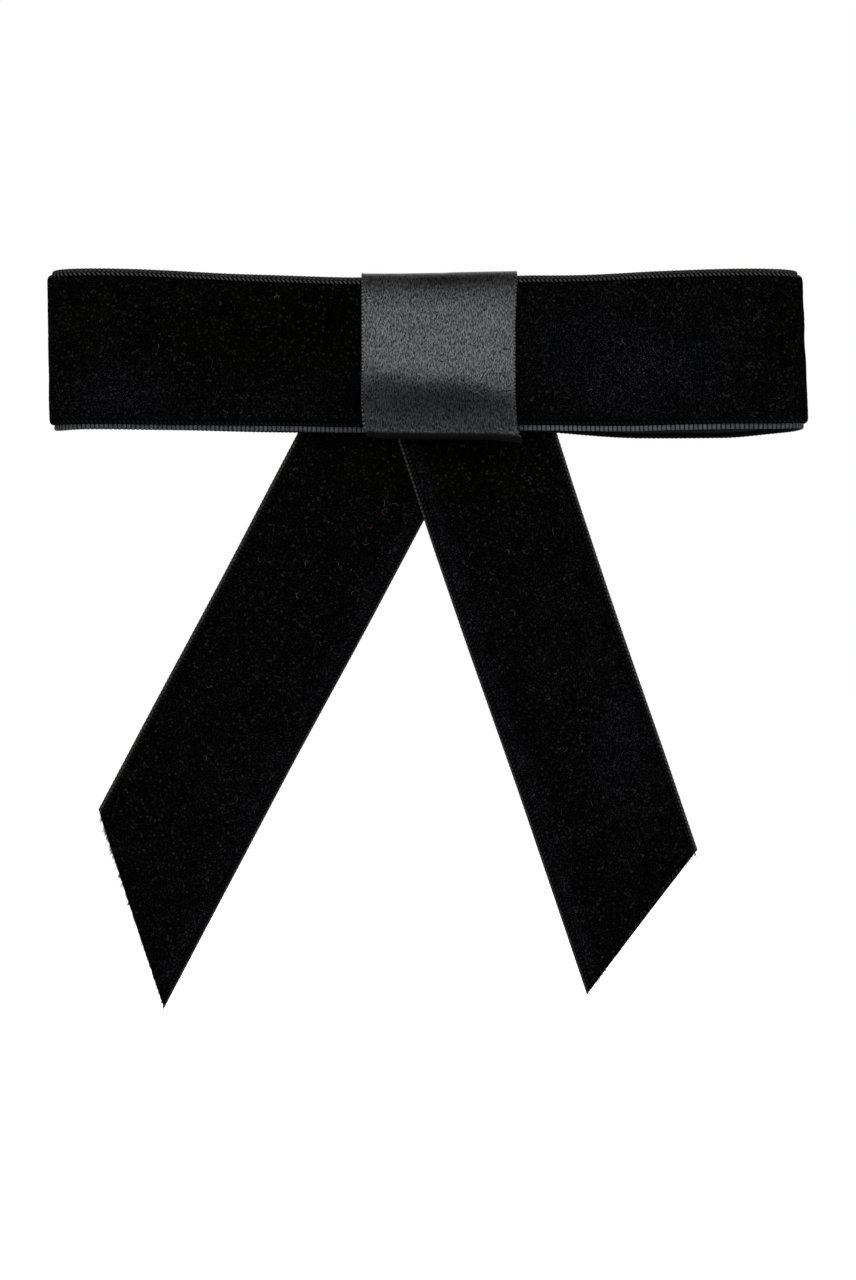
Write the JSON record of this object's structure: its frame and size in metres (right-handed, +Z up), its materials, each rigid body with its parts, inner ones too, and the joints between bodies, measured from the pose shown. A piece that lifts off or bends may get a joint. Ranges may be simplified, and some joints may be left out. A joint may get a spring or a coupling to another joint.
{
  "type": "hair bow",
  "caption": "Flat velvet hair bow with a satin centre band and slant-cut tails, on a sprung metal barrette clip.",
  "frame": {"origin": "middle of the gap that the clip closes on a lock of hair, on the clip's centre line", "axes": "+Z up as worn, -Y out of the bow's face, +Y towards the head, +X along the clip from its hinge to its catch"},
  "size_m": [0.1239, 0.0311, 0.1223],
  "materials": {
    "velvet": "black cut-pile velvet ribbon, matt",
    "satin": "charcoal satin ribbon with a soft lustre",
    "thread": "black polyester sewing thread",
    "felt": "black felt, matt",
    "grosgrain": "black ribbed grosgrain",
    "steel": "nickel-plated spring steel"
  },
  "bodies": {
    "root": {"bow_loop": "velvet", "tail_left": "velvet", "tail_right": "velvet", "centre_wrap": "satin", "wrap_seam_thread": "thread", "backing_patch": "felt", "plate_strap": "grosgrain", "clip_plate": "steel", "plate_thread_left": "thread", "plate_thread_right": "thread", "hinge_bracket": "steel", "bracket_rivet": "steel", "hinge_pin": "steel", "catch_base": "steel", "catch_rivet": "steel"},
    "clasp": {"clasp_arm": "steel"},
    "tension_bar": {"tension_bar": "steel"},
    "prong_upper": {"catch_prong_upper": "steel"},
    "prong_lower": {"catch_prong_lower": "steel"}
  },
  "joints": [
    {"name": "clasp_hinge", "type": "hinge", "parent": "root", "child": "clasp", "pos_m": [-0.033, 0.0009, 0], "axis": [0, 0, 1], "range_deg": [0, 85]},
    {"name": "tension_bar_flex", "type": "hinge", "parent": "root", "child": "tension_bar", "pos_m": [-0.0262, -0.0036, 0], "axis": [0, 0, 1], "range_deg": [-1.5, 0], "stiffness_Nm_per_rad": 0.05},
    {"name": "upper_prong_pinch", "type": "hinge", "parent": "root", "child": "prong_upper", "pos_m": [0.033, -0.0038, 0.0016], "axis": [-1, 0, 0], "range_deg": [0, 7], "stiffness_Nm_per_rad": 0.02},
    {"name": "lower_prong_pinch", "type": "hinge", "parent": "root", "child": "prong_lower", "pos_m": [0.033, -0.0038, -0.0016], "axis": [1, 0, 0], "range_deg": [0, 7], "stiffness_Nm_per_rad": 0.02}
  ]
}
